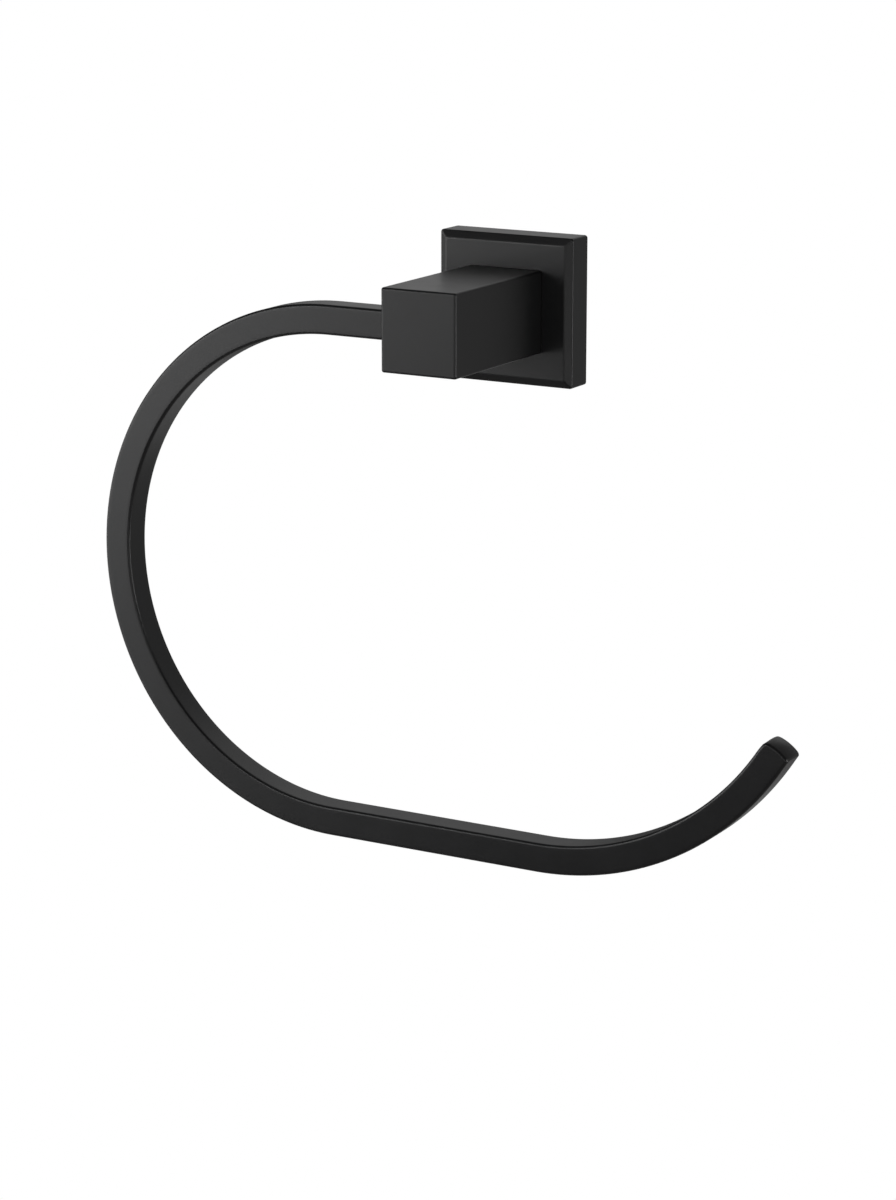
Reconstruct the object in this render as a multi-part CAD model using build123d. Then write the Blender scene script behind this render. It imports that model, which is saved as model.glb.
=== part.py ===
from build123d import *
from math import cos, radians, sin, tan
import os

# A wall-mounted towel ring: a square post on a bevelled escutcheon carries an open ring of square bar.
# The origin is the centre of the escutcheon's back face. X runs right along the wall, Y runs into the
# wall and Z runs up, so the front looks along -Y. All sizes are in millimetres.

# Escutcheon: a hollow cover with a bevelled front
plate_size = 50.0
plate_depth = 11.2          # wall to front face
plate_side_wall = 3.0
plate_front_wall = 4.0
plate_bevel_inset = 2.6     # across the front face
plate_bevel_drop = 1.2      # back along the sides
plate_corner_radius = 1.0   # edges that stand off the wall
plate_rim_radius = 0.6      # outer edge of the bevel
plate_bevel_radius = 1.5    # inner edge of the bevel and its mitres
plate_hollow_radius = 1.5   # corners of the hollow
post_seat_depth = 1.0       # recess that the post stands in

# Post: a square casting, hollow behind a solid front block
post_size = 27.6
post_reach = 57.0           # escutcheon's front to the post's front
post_edge_radius = 0.8
post_wall = 3.0
post_block_wall = 7.5       # metal between the bar's socket and the hollow
post_hollow_radius = 1.5
post_boss_diameter = 10.0
post_seat_clearance = 0.1   # each side

# Ring: one square bar, bent in a plane parallel to the wall
bar_size = 10.0
bar_edge_radius = 1.0
bar_end_chamfer = 0.6       # round the free end
bar_end_crown = 0.7         # rise of the free end's dome over half the bar
bar_tip_run = 6.0           # second bend to the free end
bar_tip_taper = 0.7         # taken off the inside of the ring along that run
bar_setback = 8.5           # post's front to the bar's front
bar_top_run = 25.5          # post's side to the first bend
bar_left_radius = 85.5      # first bend, centre line
bar_bottom_run = 78.0
bar_right_radius = 98.0     # second bend, centre line
bar_right_turn = 57.0       # degrees of the second bend
bar_socket_depth = 14.0
bar_clearance = 0.1         # each side, in the socket

# Wall bracket: pressed steel with splayed top and bottom flanges
bracket_thickness = 2.0
bracket_bend_radius = 1.5   # inside the bends
bracket_splay = 15.0        # degrees that each flange leans out
bracket_corner_radius = 2.0
bracket_tip_room = 3.3      # flange tip to the hollow's wall
bracket_front_room = 0.8    # flange tip to the hollow's floor
bracket_side_room = 3.0     # bracket's sides to the hollow's walls
wall_slot_width = 4.5
wall_slot_length = 8.0
wall_slot_margin = 4.0      # slot's end to the bracket's side

# Hook inside the escutcheon that catches the bracket's top flange
hook_width = 20.0
hook_depth = 4.5
hook_clearance = 0.1

# Grub screw that draws the escutcheon to the wall
plate_grub_diameter = 4.0
plate_grub_tip = 2.5
plate_grub_key = 2.0        # across the flats of the socket
plate_grub_recess = 0.4
plate_grub_from_wall = 4.5
plate_grub_gap = 0.05       # tip to flange
grub_boss_width = 10.0
grub_boss_height = 2.0

# Grub screw that clamps the bar
bar_grub_diameter = 5.0
bar_grub_tip = 3.5
bar_grub_key = 2.5
bar_grub_recess = 0.9

# Pan-head screw that holds the post
post_screw_diameter = 5.0
post_screw_length = 20.0
post_screw_head_diameter = 9.5
post_screw_head_height = 3.7
post_screw_head_chamfer = 1.0
post_screw_hole_clearance = 0.25
post_screw_tip_room = 2.0
cross_slot_width = 1.4
cross_slot_length = 5.4
cross_slot_depth = 2.2

thread_clearance = 0.05
key_depth_ratio = 0.8       # depth of a hexagon socket to its width

# Places that follow from the sizes
hollow_size = plate_size - 2 * plate_side_wall
hollow_depth = plate_depth - plate_front_wall
post_back = plate_depth - post_seat_depth
post_front = plate_depth + post_reach
post_length = post_front - post_back
bar_depth = post_front - bar_setback - bar_size / 2     # wall to the bar's centre line
bar_dome_radius = (bar_size**2 / 4 + bar_end_crown**2) / (2 * bar_end_crown)
rim_depth = plate_depth - plate_bevel_drop
post_block = bar_setback + bar_size + post_block_wall
bar_grub_x = (bar_socket_depth - post_size) / 2
flange_depth = hollow_depth - bracket_front_room - bracket_thickness * sin(radians(bracket_splay))
flange_slope = tan(radians(bracket_splay))
flange_root = hollow_size / 2 - bracket_tip_room - flange_depth * flange_slope
bracket_width = hollow_size - 2 * bracket_side_room
wall_slot_spacing = bracket_width - 2 * wall_slot_margin - wall_slot_length

# A box that runs forward from its place, and one that also stands on it
FORWARD = (Align.CENTER, Align.MAX, Align.CENTER)
FORWARD_AND_UP = (Align.CENTER, Align.MAX, Align.MIN)


def block(width, depth, height, start=0.0):
    """A box centred on the post's axis that runs forward from a depth in front of the wall."""
    return Pos(0, -start, 0) * Box(width, depth, height, align=FORWARD)


def rounded_block(size, depth, start, corner_radius):
    """A square block that runs forward in the same way, its four long edges rounded."""
    return fillet(block(size, depth, size, start).edges().filter_by(Axis.Y), corner_radius)


def rod(diameter, start, length):
    """A round bar on the post's axis that runs forward from a depth in front of the wall."""
    return extrude(Plane.XZ.offset(start) * Circle(diameter / 2), length)


def upright(diameter, x, depth, low, high):
    """A round upright bar at a place on the wall and a depth in front of it."""
    return extrude(Pos(x, -depth, low) * Circle(diameter / 2), high - low)


def flange_height(depth):
    """How far the outside of a bracket flange is from the centre, at a depth in front of the wall."""
    return flange_root + depth * flange_slope


def make_escutcheon():
    plate = block(plate_size, plate_depth, plate_size)
    front = plate.faces().sort_by(Axis.Y)[0]
    plate = chamfer(front.edges(), plate_bevel_inset, plate_bevel_drop, reference=front)
    bevel_edges = [edge for edge in plate.edges() if edge.center().Y < -rim_depth - 0.01]
    plate = fillet(bevel_edges, plate_bevel_radius)
    plate &= rounded_block(plate_size, plate_depth, 0, plate_corner_radius)
    rim_edges = [edge for edge in plate.edges() if abs(edge.center().Y + rim_depth) < 0.01]
    plate = fillet(rim_edges, plate_rim_radius)
    plate -= rounded_block(hollow_size, hollow_depth, 0, plate_hollow_radius)

    # The hook's underside runs parallel to the bracket's top flange
    lift = hook_clearance / cos(radians(bracket_splay))
    hook_outline = Polyline(
        (0, hollow_size / 2),
        (0, flange_height(0) + lift),
        (-hook_depth, flange_height(hook_depth) + lift),
        (-hook_depth, hollow_size / 2),
        close=True,
    )
    plate += extrude(Plane.YZ * make_face(hook_outline), hook_width / 2, both=True)

    grub_boss = Box(grub_boss_width, hollow_depth, grub_boss_height, align=FORWARD_AND_UP)
    plate += Pos(0, 0, -hollow_size / 2) * grub_boss
    grub_hole_top = -hollow_size / 2 + grub_boss_height
    grub_hole_size = plate_grub_diameter + 2 * thread_clearance
    plate -= upright(grub_hole_size, 0, plate_grub_from_wall, -plate_size / 2, grub_hole_top)

    seat_size = post_size + 2 * post_seat_clearance
    plate -= rounded_block(seat_size, post_seat_depth, post_back, post_edge_radius + post_seat_clearance)
    screw_hole = post_screw_diameter + 2 * post_screw_hole_clearance
    return plate - rod(screw_hole, hollow_depth, plate_front_wall)


def make_post():
    post = rounded_block(post_size, post_length, post_back, post_edge_radius)
    post = fillet(post.faces().sort_by(Axis.Y)[0].edges(), post_edge_radius)

    hollow_length = post_length - post_block
    post -= rounded_block(post_size - 2 * post_wall, hollow_length, post_back, post_hollow_radius)
    post += rod(post_boss_diameter, post_back, hollow_length)
    screw_hole = post_screw_diameter + 2 * thread_clearance
    post -= rod(screw_hole, post_back, post_screw_length + hollow_depth - post_back + post_screw_tip_room)

    socket_size = bar_size + 2 * bar_clearance
    socket_mouth = Plane(origin=(-post_size / 2, -bar_depth, 0), x_dir=(0, 1, 0), z_dir=(1, 0, 0))
    socket = RectangleRounded(socket_size, socket_size, bar_edge_radius + bar_clearance)
    post -= extrude(socket_mouth * socket, bar_socket_depth)
    grub_hole = bar_grub_diameter + 2 * thread_clearance
    return post - upright(grub_hole, bar_grub_x, bar_depth, -post_size / 2, 0)


def make_ring_bar():
    # The centre line, seen from the front: left out of the post, round, along the bottom and up
    top = Line((bar_socket_depth - bar_clearance - post_size / 2, 0), (-post_size / 2 - bar_top_run, 0))
    left = JernArc(top @ 1, top % 1, bar_left_radius, 180)
    bottom = Line(left @ 1, left @ 1 + (bar_bottom_run, 0))
    right = JernArc(bottom @ 1, bottom % 1, bar_right_radius, bar_right_turn)
    path = Plane.XZ.offset(bar_depth) * Wire([top, left, bottom, right])

    section = RectangleRounded(bar_size, bar_size, bar_edge_radius)
    bar = sweep(Plane(origin=path @ 0, x_dir=(0, 1, 0), z_dir=path % 0) * section, path)

    # A straight tip narrows on the inside of the ring. Its end is slightly domed, with the edges broken
    tip_root = Plane(origin=path @ 1, x_dir=(0, 1, 0), z_dir=path % 1)
    tip_height = bar_size - bar_tip_taper
    tip_section = Pos(0, -bar_tip_taper / 2) * RectangleRounded(bar_size, tip_height, bar_edge_radius)
    tip = loft([tip_root * section, tip_root.offset(bar_tip_run + bar_end_crown) * tip_section])
    dome = Rot(0, 90, 0) * Sphere(bar_dome_radius)
    tip &= tip_root * Pos(0, -bar_tip_taper / 2, bar_tip_run - bar_dome_radius) * dome
    end = tip.faces().filter_by(GeomType.SPHERE)[0]
    return bar + chamfer(end.edges(), bar_end_chamfer)


def make_wall_bracket():
    outside = FilletPolyline(
        (-flange_depth, flange_height(flange_depth)),
        (0, flange_height(0)),
        (0, -flange_height(0)),
        (-flange_depth, -flange_height(flange_depth)),
        radius=bracket_bend_radius + bracket_thickness,
    )
    outline = offset(outside, bracket_thickness, side=Side.RIGHT)
    bracket = extrude(Plane.YZ * make_face(outline), bracket_width / 2, both=True)
    tips = bracket.faces().sort_by(Axis.Y)[:2]
    corners = [edge for tip in tips for edge in tip.edges().sort_by(SortBy.LENGTH)[:2]]
    bracket = fillet(corners, bracket_corner_radius)
    slot = extrude(Plane.XZ * SlotOverall(wall_slot_length, wall_slot_width), bracket_thickness)
    for side in (-1, 1):
        bracket -= Pos(side * wall_slot_spacing / 2, 0, 0) * slot
    return bracket


def make_grub_screw(diameter, tip, key, x, depth, low, high):
    """An upright grub screw with a hexagon socket at its lower end and a narrowed flat tip on top."""
    screw = upright(diameter, x, depth, low, high)
    top = screw.edges().sort_by(Axis.Z)[-1]
    screw = chamfer(top, (diameter - tip) / 2)
    socket = RegularPolygon(key / 2, 6, major_radius=False)
    return screw - extrude(Pos(x, -depth, low) * socket, key * key_depth_ratio)


def make_escutcheon_grub_screw():
    # The front of the tip is the first to meet the leaning flange
    reach = flange_height(plate_grub_from_wall + plate_grub_tip / 2) + plate_grub_gap
    return make_grub_screw(
        plate_grub_diameter,
        plate_grub_tip,
        plate_grub_key,
        0,
        plate_grub_from_wall,
        plate_grub_recess - plate_size / 2,
        -reach,
    )


def make_bar_grub_screw():
    return make_grub_screw(
        bar_grub_diameter,
        bar_grub_tip,
        bar_grub_key,
        bar_grub_x,
        bar_depth,
        bar_grub_recess - post_size / 2,
        -bar_size / 2,
    )


def make_post_screw():
    head_back = hollow_depth - post_screw_head_height
    head = rod(post_screw_head_diameter, head_back, post_screw_head_height)
    head = chamfer(head.edges().sort_by(Axis.Y)[-1], post_screw_head_chamfer)
    screw = head + rod(post_screw_diameter, hollow_depth, post_screw_length)
    cross = block(cross_slot_length, cross_slot_depth, cross_slot_width, head_back)
    cross += block(cross_slot_width, cross_slot_depth, cross_slot_length, head_back)
    return screw - cross


pieces = {
    "escutcheon": make_escutcheon(),
    "post": make_post(),
    "ring_bar": make_ring_bar(),
    "wall_bracket": make_wall_bracket(),
    "escutcheon_grub_screw": make_escutcheon_grub_screw(),
    "bar_grub_screw": make_bar_grub_screw(),
    "post_screw": make_post_screw(),
}

os.makedirs("parts", exist_ok=True)
for name, piece in pieces.items():
    export_step(piece, f"parts/{name}.step")
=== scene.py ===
import math

import bpy
from bpy.props import FloatProperty, FloatVectorProperty, PointerProperty
from mathutils import Matrix, Vector


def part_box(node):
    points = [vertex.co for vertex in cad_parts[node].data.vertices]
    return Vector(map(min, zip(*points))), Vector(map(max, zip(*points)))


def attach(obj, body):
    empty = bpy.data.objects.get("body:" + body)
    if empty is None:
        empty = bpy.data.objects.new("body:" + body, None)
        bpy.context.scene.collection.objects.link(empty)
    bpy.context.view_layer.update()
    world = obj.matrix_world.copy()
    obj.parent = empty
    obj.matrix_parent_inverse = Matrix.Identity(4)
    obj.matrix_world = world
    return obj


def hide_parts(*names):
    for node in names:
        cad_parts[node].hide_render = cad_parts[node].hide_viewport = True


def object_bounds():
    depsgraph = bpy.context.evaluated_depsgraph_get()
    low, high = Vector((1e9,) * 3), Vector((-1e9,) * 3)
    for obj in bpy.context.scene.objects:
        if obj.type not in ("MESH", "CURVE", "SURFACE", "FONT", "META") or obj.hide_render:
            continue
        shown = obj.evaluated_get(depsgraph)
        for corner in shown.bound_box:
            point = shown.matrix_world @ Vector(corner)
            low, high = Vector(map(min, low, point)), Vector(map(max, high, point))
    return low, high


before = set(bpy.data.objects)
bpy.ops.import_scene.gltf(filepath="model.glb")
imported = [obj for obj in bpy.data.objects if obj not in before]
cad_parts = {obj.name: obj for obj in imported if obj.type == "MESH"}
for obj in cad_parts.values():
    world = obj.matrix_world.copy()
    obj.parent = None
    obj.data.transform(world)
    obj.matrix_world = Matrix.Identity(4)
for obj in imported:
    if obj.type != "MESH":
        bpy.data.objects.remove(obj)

bl_info = {
    "name": "Towel Ring",
    "version": (1, 0, 0),
    "blender": (4, 5, 0),
    "location": "3D View > Sidebar > Towel Ring",
    "description": "Dresses a wall-mounted towel ring of square bar and sets it in a plain studio",
    "category": "Add Mesh",
}

MM = 0.001
CAD_LOW, CAD_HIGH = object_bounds()
BAR_LOW, BAR_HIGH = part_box("ring_bar")

# What the frame gives of the bar: its section, its distance from the wall and its first bend
BAR_SIZE = BAR_HIGH.y - BAR_LOW.y
BAR_DEPTH = (BAR_LOW.y + BAR_HIGH.y) / 2
LEFT_RADIUS = (BAR_HIGH.z - BAR_LOW.z - BAR_SIZE) / 2
LEFT_BEND = BAR_LOW.x + BAR_SIZE / 2 + LEFT_RADIUS

# The part of a noise texture's output that its pattern fills
NOISE_SPAN = {"From Min": 0.3, "From Max": 0.7}


def linear_colour(hex_colour):
    """An sRGB hex colour as a linear RGBA."""
    digits = hex_colour.lstrip("#")
    channels = [int(digits[i:i + 2], 16) / 255 for i in (0, 2, 4)]
    straight = [c / 12.92 if c <= 0.04045 else ((c + 0.055) / 1.055) ** 2.4 for c in channels]
    return (*straight, 1.0)


def add_node(tree, kind, inputs=(), **settings):
    """Adds a node. Inputs, in order or by name, are values or what feeds them, and None leaves one alone."""
    node = tree.nodes.new(kind)
    for name, value in settings.items():
        setattr(node, name, value)
    for key, value in inputs.items() if isinstance(inputs, dict) else enumerate(inputs):
        if isinstance(value, bpy.types.Node):
            value = value.outputs[0]
        if isinstance(value, bpy.types.NodeSocket):
            tree.links.new(value, node.inputs[key])
        elif value is not None:
            node.inputs[key].default_value = value
    return node


class RingBarSizes(bpy.types.PropertyGroup):
    """Sizes of the bent square bar."""

    bar_size: FloatProperty(
        name="Bar size", description="Side of the square section", default=BAR_SIZE, min=0, unit="LENGTH"
    )
    edge_radius: FloatProperty(
        name="Edge radius", description="Rounding of the long edges", default=1.0 * MM, min=0, unit="LENGTH"
    )
    end_radius: FloatProperty(
        name="End radius", description="Rounding of the free end", default=0.8 * MM, min=0, unit="LENGTH"
    )
    end_crown: FloatProperty(
        name="End crown",
        description="Rise of the dome over half the bar",
        default=0.7 * MM,
        min=0,
        unit="LENGTH",
    )
    tip_run: FloatProperty(
        name="Tip run", description="Second bend to the free end", default=5.95 * MM, min=0, unit="LENGTH"
    )
    tip_taper: FloatProperty(
        name="Tip taper",
        description="What the tip loses on the inside of the ring",
        default=0.7 * MM,
        min=0,
        unit="LENGTH",
    )
    inner_end: FloatProperty(
        name="Inner end", description="Where the bar stops inside the post", default=0.1 * MM, unit="LENGTH"
    )
    left_radius: FloatProperty(
        name="Left bend", description="Radius of the first bend", default=LEFT_RADIUS, min=0, unit="LENGTH"
    )
    bottom_run: FloatProperty(
        name="Bottom run", description="Straight length at the bottom", default=78 * MM, min=0, unit="LENGTH"
    )
    right_radius: FloatProperty(
        name="Right bend", description="Radius of the second bend", default=98 * MM, min=0, unit="LENGTH"
    )
    right_turn: FloatProperty(
        name="Right turn",
        description="How far the second bend goes round",
        default=math.radians(57),
        subtype="ANGLE",
    )
    ring_angle: FloatProperty(
        name="Ring angle",
        description="Turn of one span of the mesh in a bend",
        default=math.radians(1),
        subtype="ANGLE",
    )


class Finishes(bpy.types.PropertyGroup):
    """Colours and textures of the finishes."""

    coat_colour: FloatVectorProperty(
        name="Powder coat",
        description="Colour of the coat on the bar, the post and the escutcheon",
        default=linear_colour("#0c0c0e"),
        size=4,
        min=0,
        max=1,
        subtype="COLOR",
    )
    coat_roughness: FloatProperty(
        name="Coat roughness",
        description="How matte the coat is",
        default=0.39,
        min=0,
        max=1,
        subtype="FACTOR",
    )
    sheen_drift: FloatProperty(
        name="Sheen drift",
        description="How far the coat's roughness wanders",
        default=0.015,
        min=0,
        max=1,
        subtype="FACTOR",
    )
    peel_size: FloatProperty(
        name="Orange peel",
        description="Width of one swell in the coat",
        default=0.9 * MM,
        min=0,
        unit="LENGTH",
    )
    zinc_colour: FloatVectorProperty(
        name="Zinc plate",
        description="Colour of the plating on the bracket and the post's screw",
        default=linear_colour("#c3c6c8"),
        size=4,
        min=0,
        max=1,
        subtype="COLOR",
    )
    oxide_colour: FloatVectorProperty(
        name="Black oxide",
        description="Colour of the grub screws",
        default=linear_colour("#18181b"),
        size=4,
        min=0,
        max=1,
        subtype="COLOR",
    )
    floor_colour: FloatVectorProperty(
        name="Floor",
        description="Colour of the studio floor",
        default=linear_colour("#f3f2ef"),
        size=4,
        min=0,
        max=1,
        subtype="COLOR",
    )


class StageSizes(bpy.types.PropertyGroup):
    """Places of the camera, the lamps and the floor, and the light of the room."""

    camera_yaw: FloatProperty(
        name="Camera yaw",
        description="How far the camera stands to the right of the front",
        default=math.radians(29.74),
        subtype="ANGLE",
    )
    camera_pitch: FloatProperty(
        name="Camera pitch",
        description="How far the camera looks down",
        default=math.radians(13.93),
        subtype="ANGLE",
    )
    camera_aim: FloatVectorProperty(
        name="Camera aim",
        description="Point in the middle of the picture",
        default=(-9.27 * MM, -32.72 * MM, -96.0 * MM),
        size=3,
        subtype="TRANSLATION",
    )
    camera_distance: FloatProperty(
        name="Camera distance", description="Camera to its aim", default=1.127, min=0, unit="LENGTH"
    )
    camera_lens: FloatProperty(
        name="Camera lens", description="Focal length in millimetres", default=100.98, min=1, unit="CAMERA"
    )
    lamp_distance: FloatProperty(
        name="Lamp distance", description="Lamps to the ring", default=1.2, min=0, unit="LENGTH"
    )
    floor_drop: FloatProperty(
        name="Floor drop",
        description="Escutcheon's centre down to the floor",
        default=1.45,
        min=0,
        unit="LENGTH",
    )
    floor_size: FloatProperty(
        name="Floor size", description="Side of the floor", default=3.0, min=0, unit="LENGTH"
    )
    soft_level: FloatProperty(
        name="Soft light", description="Light of the room on matte surfaces", default=0.15, min=0
    )
    room_level: FloatProperty(
        name="Room", description="Light of the room as sheen shows it", default=0.06, min=0
    )
    back_left_level: FloatProperty(
        name="Back left",
        description="What sheen sees behind on the left, on top of the room",
        default=0.03,
        min=0,
    )
    back_right_level: FloatProperty(
        name="Back right",
        description="What sheen sees behind on the right, on top of the room",
        default=0.2,
        min=0,
    )


class TowelRingSettings(bpy.types.PropertyGroup):
    """Everything that a user would change."""

    ring_bar: PointerProperty(type=RingBarSizes)
    finishes: PointerProperty(type=Finishes)
    stage: PointerProperty(type=StageSizes)


def new_material(name):
    """An empty material and its node tree."""
    material = bpy.data.materials.new(name)
    material.use_nodes = True
    material.node_tree.nodes.clear()
    return material, material.node_tree


def powder_coat(finishes):
    """Matte jet-black powder coat: near-black, with a soft sheen that a faint orange peel breaks up."""
    material, tree = new_material("matte black powder coat")
    where = add_node(tree, "ShaderNodeTexCoord").outputs["Object"]

    # Slow drift in the film's thickness, about a finger's width across: barely seen in tone and sheen
    drift_size = 12 * MM
    drift = add_node(tree, "ShaderNodeTexNoise", {"Vector": where, "Scale": 1 / drift_size, "Detail": 3})
    tone = add_node(
        tree, "ShaderNodeMapRange", {"Value": drift, **NOISE_SPAN, "To Min": 0.8, "To Max": 1.2}
    )
    colour = add_node(tree, "ShaderNodeHueSaturation", {"Value": tone, "Color": finishes.coat_colour})
    sheen = add_node(
        tree,
        "ShaderNodeMapRange",
        {
            "Value": drift,
            **NOISE_SPAN,
            "To Min": finishes.coat_roughness - finishes.sheen_drift,
            "To Max": finishes.coat_roughness + finishes.sheen_drift,
        },
    )

    # Orange peel: low swells that the powder leaves when it melts and levels
    peel_height = 0.02 * MM
    peel = add_node(
        tree, "ShaderNodeTexNoise", {"Vector": where, "Scale": 1 / finishes.peel_size, "Detail": 1}
    )
    swell = add_node(tree, "ShaderNodeBump", {"Strength": 0.5, "Distance": peel_height, "Height": peel})
    shader = add_node(
        tree,
        "ShaderNodeBsdfPrincipled",
        {"Base Color": colour, "Roughness": sheen, "IOR": 1.5, "Normal": swell},
    )
    add_node(tree, "ShaderNodeOutputMaterial", {"Surface": shader})
    return material


def zinc_plate(finishes):
    """Bright zinc plate on pressed steel: pale metal, with the sheet's rolling lines under the plating."""
    material, tree = new_material("bright zinc plate")
    where = add_node(tree, "ShaderNodeTexCoord").outputs["Object"]

    # Rolling lines run along the sheet; real ones are finer than 0.1 mm and are drawn at 0.4 mm to be seen
    line_length = 14 * MM
    line_width = 0.4 * MM
    line_height = 0.01 * MM
    stretch = add_node(
        tree,
        "ShaderNodeMapping",
        {"Vector": where, "Scale": (1 / line_length, 1 / line_width, 1 / line_width)},
    )
    lines = add_node(tree, "ShaderNodeTexNoise", {"Vector": stretch, "Scale": 1, "Detail": 2})
    sheen = add_node(
        tree, "ShaderNodeMapRange", {"Value": lines, **NOISE_SPAN, "To Min": 0.26, "To Max": 0.42}
    )

    # Plating lies a little thicker in some places, which shifts the tone in patches of a few millimetres
    patch_size = 5 * MM
    patches = add_node(tree, "ShaderNodeTexNoise", {"Vector": where, "Scale": 1 / patch_size, "Detail": 2})
    tone = add_node(
        tree, "ShaderNodeMapRange", {"Value": patches, **NOISE_SPAN, "To Min": 0.88, "To Max": 1.05}
    )
    colour = add_node(tree, "ShaderNodeHueSaturation", {"Value": tone, "Color": finishes.zinc_colour})
    swell = add_node(tree, "ShaderNodeBump", {"Strength": 0.3, "Distance": line_height, "Height": lines})
    shader = add_node(
        tree,
        "ShaderNodeBsdfPrincipled",
        {"Base Color": colour, "Metallic": 1.0, "Roughness": sheen, "Normal": swell},
    )
    add_node(tree, "ShaderNodeOutputMaterial", {"Surface": shader})
    return material


def black_oxide(finishes):
    """Black oxide on a steel screw: a thin dark film, oiled, with a harder glint than the powder coat."""
    material, tree = new_material("black oxide")
    where = add_node(tree, "ShaderNodeTexCoord").outputs["Object"]

    # Oil and oxide lie unevenly, in specks of about half a millimetre
    speck_size = 0.5 * MM
    specks = add_node(tree, "ShaderNodeTexNoise", {"Vector": where, "Scale": 1 / speck_size, "Detail": 3})
    sheen = add_node(
        tree, "ShaderNodeMapRange", {"Value": specks, **NOISE_SPAN, "To Min": 0.24, "To Max": 0.38}
    )
    tone = add_node(
        tree, "ShaderNodeMapRange", {"Value": specks, **NOISE_SPAN, "To Min": 0.8, "To Max": 1.3}
    )
    colour = add_node(tree, "ShaderNodeHueSaturation", {"Value": tone, "Color": finishes.oxide_colour})
    shader = add_node(
        tree, "ShaderNodeBsdfPrincipled", {"Base Color": colour, "Roughness": sheen, "IOR": 2.3}
    )
    add_node(tree, "ShaderNodeOutputMaterial", {"Surface": shader})
    return material


def pale_floor(finishes):
    """Matte off-white floor paint, lifted towards white for the camera, so that only the shadow shows."""
    material, tree = new_material("off-white floor paint")
    where = add_node(tree, "ShaderNodeTexCoord").outputs["Object"]
    roller_width = 250 * MM
    roller = add_node(tree, "ShaderNodeTexNoise", {"Vector": where, "Scale": 1 / roller_width, "Detail": 3})
    tone = add_node(
        tree, "ShaderNodeMapRange", {"Value": roller, **NOISE_SPAN, "To Min": 0.98, "To Max": 1.0}
    )
    colour = add_node(tree, "ShaderNodeHueSaturation", {"Value": tone, "Color": finishes.floor_colour})
    lift_level = 0.65
    path = add_node(tree, "ShaderNodeLightPath").outputs
    lift = add_node(tree, "ShaderNodeMath", (path["Is Camera Ray"], lift_level), operation="MULTIPLY")
    shader = add_node(
        tree,
        "ShaderNodeBsdfPrincipled",
        {
            "Base Color": colour,
            "Roughness": 0.8,
            "Emission Color": (1, 1, 1, 1),
            "Emission Strength": lift,
        },
    )
    add_node(tree, "ShaderNodeOutputMaterial", {"Surface": shader})
    return material


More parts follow.
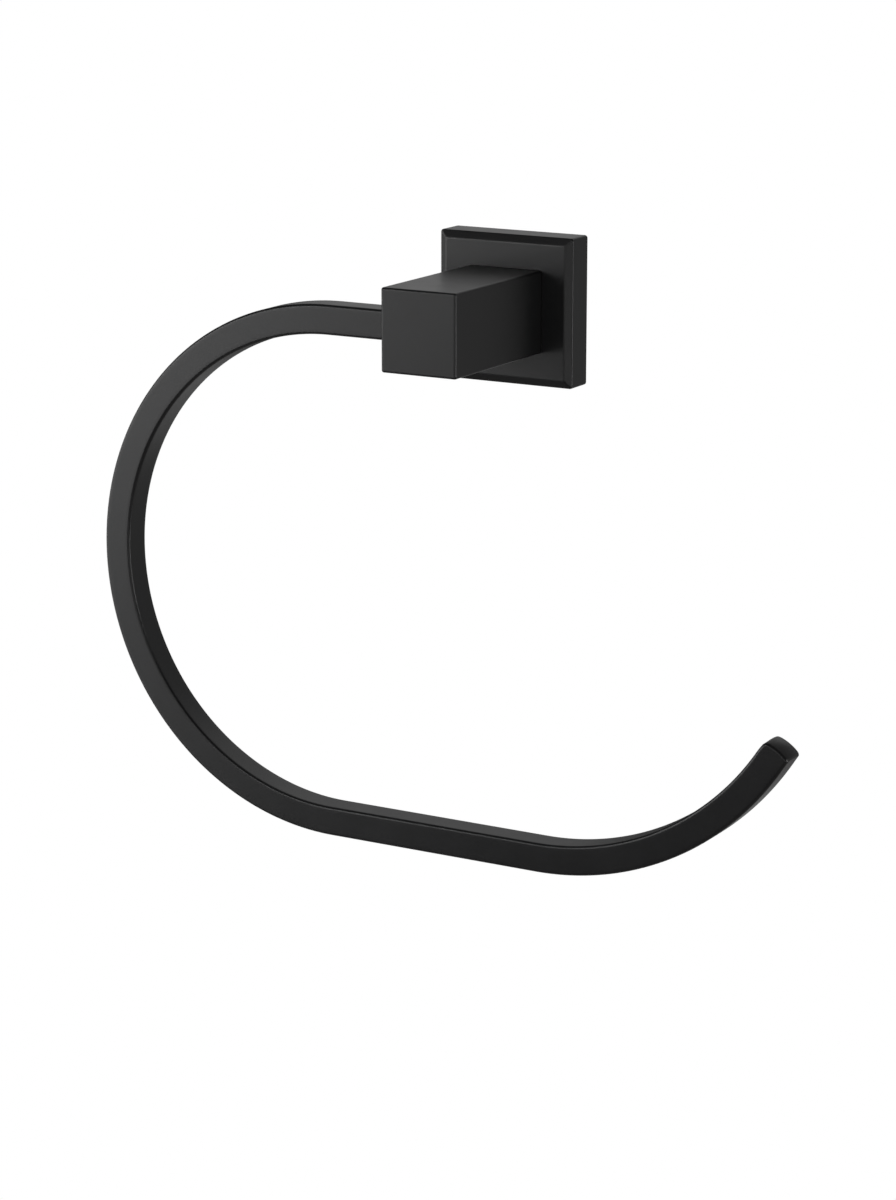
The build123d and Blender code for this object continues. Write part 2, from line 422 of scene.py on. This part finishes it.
def bent_bar_tree():
    """A rounded square section swept along a run, a half turn, a run, a rising bend and a domed tip."""
    tree = bpy.data.node_groups.new("Bent square bar", "GeometryNodeTree")
    for name in (
        "Bar Size",
        "Edge Radius",
        "End Radius",
        "End Crown",
        "Tip Run",
        "Tip Taper",
        "Inner End",
        "Left Bend",
        "Left Radius",
        "Bottom Run",
        "Right Radius",
        "Right Turn",
        "Ring Angle",
        "Depth",
    ):
        tree.interface.new_socket(name, in_out="INPUT", socket_type="NodeSocketFloat")
    tree.interface.new_socket("Material", in_out="INPUT", socket_type="NodeSocketMaterial")
    tree.interface.new_socket("Geometry", in_out="OUTPUT", socket_type="NodeSocketGeometry")
    given = add_node(tree, "NodeGroupInput").outputs

    # The path is drawn flat, from the post leftwards: x across, y up
    bottom = add_node(tree, "ShaderNodeMath", (given["Left Radius"], -2), operation="MULTIPLY")
    left_middle = add_node(tree, "ShaderNodeMath", (given["Left Radius"], -1), operation="MULTIPLY")
    right_bend = add_node(tree, "ShaderNodeMath", (given["Left Bend"], given["Bottom Run"]), operation="ADD")
    right_middle = add_node(tree, "ShaderNodeMath", (bottom, given["Right Radius"]), operation="ADD")
    right_centre = add_node(tree, "ShaderNodeCombineXYZ", {"X": right_bend, "Y": right_middle})
    top_run = add_node(
        tree,
        "GeometryNodeCurvePrimitiveLine",
        {
            "Start": add_node(tree, "ShaderNodeCombineXYZ", {"X": given["Inner End"]}),
            "End": add_node(tree, "ShaderNodeCombineXYZ", {"X": given["Left Bend"]}),
        },
    )
    left_arc = add_node(
        tree,
        "GeometryNodeCurveArc",
        {
            "Resolution": add_node(
                tree, "ShaderNodeMath", (math.pi, given["Ring Angle"]), operation="DIVIDE"
            ),
            "Radius": given["Left Radius"],
            "Start Angle": math.pi / 2,
            "Sweep Angle": math.pi,
        },
    )
    left_arc = add_node(
        tree,
        "GeometryNodeTransform",
        {
            "Geometry": left_arc,
            "Translation": add_node(
                tree, "ShaderNodeCombineXYZ", {"X": given["Left Bend"], "Y": left_middle}
            ),
        },
    )
    bottom_run = add_node(
        tree,
        "GeometryNodeCurvePrimitiveLine",
        {
            "Start": add_node(tree, "ShaderNodeCombineXYZ", {"X": given["Left Bend"], "Y": bottom}),
            "End": add_node(tree, "ShaderNodeCombineXYZ", {"X": right_bend, "Y": bottom}),
        },
    )

    right_arc = add_node(
        tree,
        "GeometryNodeCurveArc",
        {
            "Resolution": add_node(
                tree, "ShaderNodeMath", (given["Right Turn"], given["Ring Angle"]), operation="DIVIDE"
            ),
            "Radius": given["Right Radius"],
            "Start Angle": -math.pi / 2,
            "Sweep Angle": given["Right Turn"],
        },
    )
    right_arc = add_node(
        tree, "GeometryNodeTransform", {"Geometry": right_arc, "Translation": right_centre}
    )

    # The tip's rings: five up the straight run, then seven round the end's edge and five more to close it
    run_end = 4
    edge_start = run_end + 1
    edge_end = edge_start + 6
    last_ring = edge_end + 5
    ring = add_node(tree, "GeometryNodeInputIndex")

    # At its corners the dome drops back by twice its crown, so the straight run stops a little behind that
    dome_crowns = 2.5
    dome_length = add_node(tree, "ShaderNodeMath", (given["End Crown"], dome_crowns), operation="MULTIPLY")
    end_length = add_node(tree, "ShaderNodeMath", (given["End Radius"], dome_length), operation="ADD")
    plain_run = add_node(tree, "ShaderNodeMath", (given["Tip Run"], end_length), operation="SUBTRACT")
    up_run = add_node(tree, "ShaderNodeMapRange", {"Value": ring, "From Max": run_end, "To Max": plain_run})
    climb = add_node(
        tree,
        "ShaderNodeMapRange",
        {"Value": ring, "From Min": edge_start, "From Max": edge_end, "To Max": math.pi / 2},
    )
    rise = add_node(tree, "ShaderNodeMath", (climb,), operation="SINE")
    over_edge = add_node(
        tree, "ShaderNodeMath", (rise, given["End Radius"], dome_length), operation="MULTIPLY_ADD"
    )
    at_end = add_node(tree, "ShaderNodeMath", (ring, run_end + 0.5), operation="GREATER_THAN")
    advance = add_node(tree, "ShaderNodeMath", (at_end, over_edge, up_run), operation="MULTIPLY_ADD")

    # The closing rings step on by a hair each, so that none is merged with the next
    closing_length = 0.05 * MM
    step = add_node(
        tree,
        "ShaderNodeMapRange",
        {"Value": ring, "From Min": edge_end, "From Max": last_ring, "To Max": closing_length},
    )
    advance = add_node(tree, "ShaderNodeMath", (advance, step), operation="ADD")

    # The section draws in round the end's edge, and then almost to a point
    last_scale = 0.02
    half = add_node(tree, "ShaderNodeMath", (given["Bar Size"], 2), operation="DIVIDE")
    radius_share = add_node(tree, "ShaderNodeMath", (given["End Radius"], half), operation="DIVIDE")
    inset = add_node(tree, "ShaderNodeMath", (climb,), operation="COSINE")
    inset = add_node(tree, "ShaderNodeMath", (1, inset), operation="SUBTRACT")
    inset = add_node(tree, "ShaderNodeMath", (inset, radius_share), operation="MULTIPLY")
    left_over = add_node(tree, "ShaderNodeMath", (1, inset), operation="SUBTRACT")
    closing = add_node(
        tree,
        "ShaderNodeMapRange",
        {"Value": ring, "From Min": edge_end, "From Max": last_ring, "To Min": 1, "To Max": last_scale},
    )
    scale = add_node(tree, "ShaderNodeMath", (left_over, closing), operation="MULTIPLY")
    below = add_node(tree, "ShaderNodeMath", (given["Right Radius"], -1), operation="MULTIPLY")
    tip = add_node(tree, "GeometryNodeMeshLine", {"Count": last_ring + 1})
    tip = add_node(
        tree,
        "GeometryNodeSetPosition",
        {
            "Geometry": tip,
            "Position": add_node(tree, "ShaderNodeCombineXYZ", {"X": advance, "Y": below}),
        },
    )
    for name, value in (
        ("shrink", add_node(tree, "ShaderNodeMath", (1, scale), operation="SUBTRACT")),
        ("domed", at_end),
        ("tip share", add_node(tree, "ShaderNodeMath", (advance, given["Tip Run"]), operation="DIVIDE")),
    ):
        tip = add_node(
            tree, "GeometryNodeStoreNamedAttribute", {"Geometry": tip, "Name": name, "Value": value}
        )
    tip = add_node(
        tree,
        "GeometryNodeTransform",
        {
            "Geometry": tip,
            "Translation": right_centre,
            "Rotation": add_node(tree, "ShaderNodeCombineXYZ", {"Z": given["Right Turn"]}),
        },
    )

    # The stretches become one chain of edges and that becomes the path
    stretches = add_node(tree, "GeometryNodeJoinGeometry")
    for stretch in (top_run, left_arc, bottom_run, right_arc):
        stretch = add_node(tree, "GeometryNodeCurveToMesh", {"Curve": stretch})
        tree.links.new(stretch.outputs[0], stretches.inputs[0])
    tree.links.new(tip.outputs[0], stretches.inputs[0])
    joint_gap = 0.001 * MM
    chain = add_node(tree, "GeometryNodeMergeByDistance", {"Geometry": stretches, "Distance": joint_gap})
    path = add_node(tree, "GeometryNodeMeshToCurve", {"Mesh": chain})
    path = add_node(tree, "GeometryNodeSetCurveNormal", {"Curve": path}, mode="Z_UP")

    # The section is a square with rounded corners
    corner_spans = 6
    side_cuts = 7
    section = add_node(
        tree,
        "GeometryNodeCurvePrimitiveQuadrilateral",
        {"Width": given["Bar Size"], "Height": given["Bar Size"]},
    )
    section = add_node(
        tree,
        "GeometryNodeFilletCurve",
        {"Curve": section, "Radius": given["Edge Radius"], "Count": corner_spans},
        mode="POLY",
    )

    # A corner has one point more than spans, and its last point starts a flat side, cut up for the dome
    section_point = add_node(tree, "GeometryNodeInputIndex")
    corner_point = add_node(tree, "ShaderNodeMath", (section_point, corner_spans + 1), operation="MODULO")
    flat_side = add_node(
        tree, "ShaderNodeMath", (corner_point, corner_spans - 0.5), operation="GREATER_THAN"
    )
    cuts = add_node(tree, "ShaderNodeMath", (flat_side, side_cuts), operation="MULTIPLY")
    section = add_node(tree, "GeometryNodeSubdivideCurve", {"Curve": section, "Cuts": cuts})
    shrink = add_node(tree, "GeometryNodeInputNamedAttribute", {"Name": "shrink"}, data_type="FLOAT")
    bar = add_node(
        tree,
        "GeometryNodeCurveToMesh",
        {
            "Curve": path,
            "Profile Curve": section,
            "Scale": add_node(tree, "ShaderNodeMath", (1, shrink), operation="SUBTRACT"),
            "Fill Caps": True,
        },
    )

    # The dome: points of the end drop back by the square of their distance from the bar's centre line
    cosine = add_node(tree, "ShaderNodeMath", (given["Right Turn"],), operation="COSINE")
    sine = add_node(tree, "ShaderNodeMath", (given["Right Turn"],), operation="SINE")
    along = add_node(tree, "ShaderNodeCombineXYZ", {"X": cosine, "Y": sine})
    outward = add_node(
        tree,
        "ShaderNodeCombineXYZ",
        {"X": sine, "Y": add_node(tree, "ShaderNodeMath", (cosine, -1), operation="MULTIPLY")},
    )
    place = add_node(tree, "GeometryNodeInputPosition")
    depth = add_node(tree, "ShaderNodeSeparateXYZ", (place,)).outputs["Z"]
    from_centre = add_node(tree, "ShaderNodeVectorMath", (place, right_centre), operation="SUBTRACT")
    reach = add_node(tree, "ShaderNodeVectorMath", (from_centre, outward), operation="DOT_PRODUCT")
    offset = add_node(
        tree, "ShaderNodeMath", (reach.outputs["Value"], given["Right Radius"]), operation="SUBTRACT"
    )
    squares = add_node(tree, "ShaderNodeMath", (depth, depth), operation="MULTIPLY")
    squares = add_node(tree, "ShaderNodeMath", (offset, offset, squares), operation="MULTIPLY_ADD")
    half_square = add_node(tree, "ShaderNodeMath", (half, half), operation="MULTIPLY")
    dome_share = add_node(tree, "ShaderNodeMath", (squares, half_square), operation="DIVIDE")
    drop = add_node(tree, "ShaderNodeMath", (dome_share, given["End Crown"]), operation="MULTIPLY")
    domed = add_node(tree, "GeometryNodeInputNamedAttribute", {"Name": "domed"}, data_type="FLOAT")
    drop = add_node(tree, "ShaderNodeMath", (drop, domed), operation="MULTIPLY")
    back = add_node(tree, "ShaderNodeMath", (drop, -1), operation="MULTIPLY")
    dome = add_node(tree, "ShaderNodeVectorMath", {"Vector": along, "Scale": back}, operation="SCALE")

    # The taper: points on the inside of the ring come in, more and more towards the end
    tip_share = add_node(tree, "GeometryNodeInputNamedAttribute", {"Name": "tip share"}, data_type="FLOAT")
    progress = add_node(tree, "ShaderNodeMath", (tip_share, 2), operation="POWER")
    inside = add_node(
        tree,
        "ShaderNodeMath",
        (0.5, add_node(tree, "ShaderNodeMath", (offset, given["Bar Size"]), operation="DIVIDE")),
        operation="SUBTRACT",
    )
    narrowing = add_node(tree, "ShaderNodeMath", (progress, inside), operation="MULTIPLY")
    narrowing = add_node(tree, "ShaderNodeMath", (narrowing, given["Tip Taper"]), operation="MULTIPLY")
    taper = add_node(
        tree, "ShaderNodeVectorMath", {"Vector": outward, "Scale": narrowing}, operation="SCALE"
    )
    bar = add_node(
        tree,
        "GeometryNodeSetPosition",
        {"Geometry": bar, "Offset": add_node(tree, "ShaderNodeVectorMath", (dome, taper), operation="ADD")},
    )

    # The bar's cut end inside the post keeps a sharp edge
    sharp_angle = math.radians(60)
    cut_edge = add_node(
        tree,
        "ShaderNodeMath",
        (add_node(tree, "GeometryNodeInputMeshEdgeAngle"), sharp_angle),
        operation="GREATER_THAN",
    )
    bar = add_node(
        tree,
        "GeometryNodeSetShadeSmooth",
        {"Geometry": bar, "Selection": cut_edge, "Shade Smooth": False},
        domain="EDGE",
    )

    # Stood up in the plane of the ring, at its distance from the wall
    bar = add_node(
        tree,
        "GeometryNodeTransform",
        {
            "Geometry": bar,
            "Translation": add_node(tree, "ShaderNodeCombineXYZ", {"Y": given["Depth"]}),
            "Rotation": (math.pi / 2, 0, 0),
        },
    )
    bar = add_node(tree, "GeometryNodeRealizeInstances", {"Geometry": bar})
    bar = add_node(tree, "GeometryNodeSetMaterial", {"Geometry": bar, "Material": given["Material"]})
    add_node(tree, "NodeGroupOutput", {"Geometry": bar})
    return tree


def grown_piece(name, tree, values):
    """Runs a node tree with the given inputs and keeps its result as a plain mesh."""
    piece = bpy.data.objects.new(name, bpy.data.meshes.new(name))
    bpy.context.scene.collection.objects.link(piece)
    build = piece.modifiers.new("Build", "NODES")
    build.node_group = tree
    for item in tree.interface.items_tree:
        if item.in_out == "INPUT":
            build[item.identifier] = values[item.name]
    weigh = piece.modifiers.new("Flat faces stay flat", "WEIGHTED_NORMAL")
    weigh.weight = 100
    weigh.keep_sharp = True
    bpy.context.view_layer.update()
    graph = bpy.context.evaluated_depsgraph_get()
    mesh = bpy.data.meshes.new_from_object(piece.evaluated_get(graph))
    mesh.name = name
    piece.modifiers.clear()
    piece.data = mesh
    return piece


def finish_nodes(names, material):
    """Gives pieces that keep their shape from the frame a finish of their own."""
    for name in names:
        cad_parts[name].data.materials[0] = material


class TOWELRING_OT_ring_bar(bpy.types.Operator):
    """Bends the square bar into an open ring"""

    bl_idname = "towel_ring.ring_bar"
    bl_label = "Ring bar"

    def execute(self, context):
        settings = context.scene.towel_ring
        sizes = settings.ring_bar
        piece = grown_piece(
            "bent_ring_bar",
            bent_bar_tree(),
            {
                "Bar Size": sizes.bar_size,
                "Edge Radius": sizes.edge_radius,
                "End Radius": sizes.end_radius,
                "End Crown": sizes.end_crown,
                "Tip Run": sizes.tip_run,
                "Tip Taper": sizes.tip_taper,
                "Inner End": sizes.inner_end,
                "Left Bend": LEFT_BEND,
                "Left Radius": sizes.left_radius,
                "Bottom Run": sizes.bottom_run,
                "Right Radius": sizes.right_radius,
                "Right Turn": sizes.right_turn,
                "Ring Angle": sizes.ring_angle,
                "Depth": BAR_DEPTH,
                "Material": powder_coat(settings.finishes),
            },
        )
        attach(piece, "root")
        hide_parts("ring_bar")
        return {"FINISHED"}


class TOWELRING_OT_castings(bpy.types.Operator):
    """Coats the post and the escutcheon"""

    bl_idname = "towel_ring.castings"
    bl_label = "Post and escutcheon"

    def execute(self, context):
        finish_nodes(("post", "escutcheon"), powder_coat(context.scene.towel_ring.finishes))
        return {"FINISHED"}


class TOWELRING_OT_plated_steel(bpy.types.Operator):
    """Plates the wall bracket and the screw that holds the post"""

    bl_idname = "towel_ring.plated_steel"
    bl_label = "Bracket and post screw"

    def execute(self, context):
        finish_nodes(("wall_bracket", "post_screw"), zinc_plate(context.scene.towel_ring.finishes))
        return {"FINISHED"}


class TOWELRING_OT_grub_screws(bpy.types.Operator):
    """Blackens the grub screws in the escutcheon and the post"""

    bl_idname = "towel_ring.grub_screws"
    bl_label = "Grub screws"

    def execute(self, context):
        names = ("escutcheon_grub_screw", "bar_grub_screw")
        finish_nodes(names, black_oxide(context.scene.towel_ring.finishes))
        return {"FINISHED"}


class TOWELRING_OT_stage(bpy.types.Operator):
    """Sets out the floor, the lamps, the backdrop light and the camera"""

    bl_idname = "towel_ring.stage"
    bl_label = "Stage"

    def execute(self, context):
        scene = context.scene
        settings = scene.towel_ring
        sizes = settings.stage
        scene.view_settings.view_transform = "Standard"

        half = sizes.floor_size / 2
        outline = ((-half, -half), (half, -half), (half, half), (-half, half))
        corners = [(x, y, -sizes.floor_drop) for x, y in outline]
        mesh = bpy.data.meshes.new("floor")
        mesh.from_pydata(corners, [], [(0, 1, 2, 3)])
        mesh.materials.append(pale_floor(settings.finishes))
        floor = bpy.data.objects.new("floor", mesh)
        scene.collection.objects.link(floor)

        yaw, pitch = sizes.camera_yaw, sizes.camera_pitch
        right = Vector((math.cos(yaw), math.sin(yaw), 0))
        ahead = Vector((-math.sin(yaw) * math.cos(pitch), math.cos(yaw) * math.cos(pitch), -math.sin(pitch)))
        turn = Matrix((right, right.cross(ahead), -ahead)).transposed().to_4x4()
        camera = bpy.data.objects.new("camera", bpy.data.cameras.new("camera"))
        camera.data.lens = sizes.camera_lens
        stand = Vector(sizes.camera_aim) - ahead * sizes.camera_distance
        camera.matrix_world = Matrix.Translation(stand) @ turn
        scene.collection.objects.link(camera)
        scene.camera = camera

        # Softboxes: degrees to the left of the front, degrees up, width and height in metres, and level.
        # The strip draws the light line along right-hand edges, so it adds sheen and lights no matte surface
        centre = (CAD_LOW + CAD_HIGH) / 2
        for name, left, up, width, height, level, lights_matte in (
            ("left softbox", 50, 3, 0.7, 0.55, 3.45, True),
            ("low left softbox", 58, -18.5, 0.5, 0.4, 2.0, True),
            ("left fill", 92, -8, 0.5, 0.6, 0.8, True),
            ("key softbox", 31, 15, 0.4, 0.22, 5.2, True),
            ("front softbox", 0, 6, 0.6, 0.6, 1.0, True),
            ("right fill", -28.5, -9, 0.35, 0.3, 2.45, True),
            ("right strip", -91, -5, 0.25, 0.8, 8.4, False),
            ("top fill", 150, 68, 0.5, 0.5, 0.5, True),
            ("back softbox", 163, 29, 0.95, 1.0, 0.52, True),
            ("low back softbox", 167, -32, 0.54, 0.28, 0.58, True),
        ):
            left, up = math.radians(left), math.radians(up)
            away = Vector((-math.sin(left) * math.cos(up), -math.cos(left) * math.cos(up), math.sin(up)))
            box = bpy.data.lights.new(name, "AREA")
            box.shape = "RECTANGLE"
            box.size, box.size_y = width, height
            box.energy = level * math.pi * width * height
            lamp = bpy.data.objects.new(name, box)
            lamp.location = centre + away * sizes.lamp_distance
            lamp.rotation_mode = "QUATERNION"
            lamp.rotation_quaternion = (-away).to_track_quat("-Z", "Y")
            lamp.visible_camera = False
            lamp.visible_diffuse = lights_matte
            scene.collection.objects.link(lamp)

        # The camera sees white. Sheen sees a dim room, brighter behind on the right, so outlines stay dark.
        # Directions run from -1 to 1 on each axis, with Y to the back and X to the right
        world = bpy.data.worlds.new("studio")
        world.use_nodes = True
        scene.world = world
        tree = world.node_tree
        tree.nodes.clear()
        toward = add_node(tree, "ShaderNodeTexCoord")
        axes = add_node(tree, "ShaderNodeSeparateXYZ", (toward.outputs["Generated"],)).outputs
        behind = add_node(
            tree,
            "ShaderNodeMapRange",
            {"Value": axes["Y"], "From Min": -0.3, "From Max": 0.6},
            interpolation_type="SMOOTHSTEP",
        )
        side = add_node(
            tree,
            "ShaderNodeMapRange",
            {
                "Value": axes["X"],
                "From Min": -0.2,
                "From Max": 0.3,
                "To Min": sizes.back_left_level,
                "To Max": sizes.back_right_level,
            },
            interpolation_type="SMOOTHSTEP",
        )
        backdrop = add_node(
            tree, "ShaderNodeMath", (behind, side, sizes.room_level), operation="MULTIPLY_ADD"
        )
        path = add_node(tree, "ShaderNodeLightPath").outputs
        sheen = add_node(
            tree, "ShaderNodeMath", (path["Is Glossy Ray"], path["Is Transmission Ray"]), operation="MAXIMUM"
        )
        level = add_node(tree, "ShaderNodeMix", (sheen, None, sizes.soft_level, backdrop))
        level = add_node(tree, "ShaderNodeMath", (path["Is Camera Ray"], level), operation="MAXIMUM")
        background = add_node(tree, "ShaderNodeBackground", {"Color": (1, 1, 1, 1), "Strength": level})
        add_node(tree, "ShaderNodeOutputWorld", {"Surface": background})
        return {"FINISHED"}


class TOWELRING_PT_sidebar(bpy.types.Panel):
    """Lists the pieces of the towel ring and what can be changed about them"""

    bl_idname = "TOWELRING_PT_sidebar"
    bl_label = "Towel Ring"
    bl_space_type = "VIEW_3D"
    bl_region_type = "UI"
    bl_category = "Towel Ring"

    def draw(self, context):
        for operator in OPERATORS:
            self.layout.operator(operator.bl_idname)
        settings = context.scene.towel_ring
        for group in (settings.ring_bar, settings.finishes, settings.stage):
            box = self.layout.box()
            for name in group.__annotations__:
                box.prop(group, name)


OPERATORS = (
    TOWELRING_OT_ring_bar,
    TOWELRING_OT_castings,
    TOWELRING_OT_plated_steel,
    TOWELRING_OT_grub_screws,
    TOWELRING_OT_stage,
)
CLASSES = (RingBarSizes, Finishes, StageSizes, TowelRingSettings, *OPERATORS, TOWELRING_PT_sidebar)


def register():
    for cls in CLASSES:
        bpy.utils.register_class(cls)
    bpy.types.Scene.towel_ring = PointerProperty(type=TowelRingSettings)


def unregister():
    del bpy.types.Scene.towel_ring
    for cls in reversed(CLASSES):
        bpy.utils.unregister_class(cls)


def main():
    register()
    bpy.ops.towel_ring.ring_bar()
    bpy.ops.towel_ring.castings()
    bpy.ops.towel_ring.plated_steel()
    bpy.ops.towel_ring.grub_screws()
    bpy.ops.towel_ring.stage()


if __name__ == "__main__":
    main()
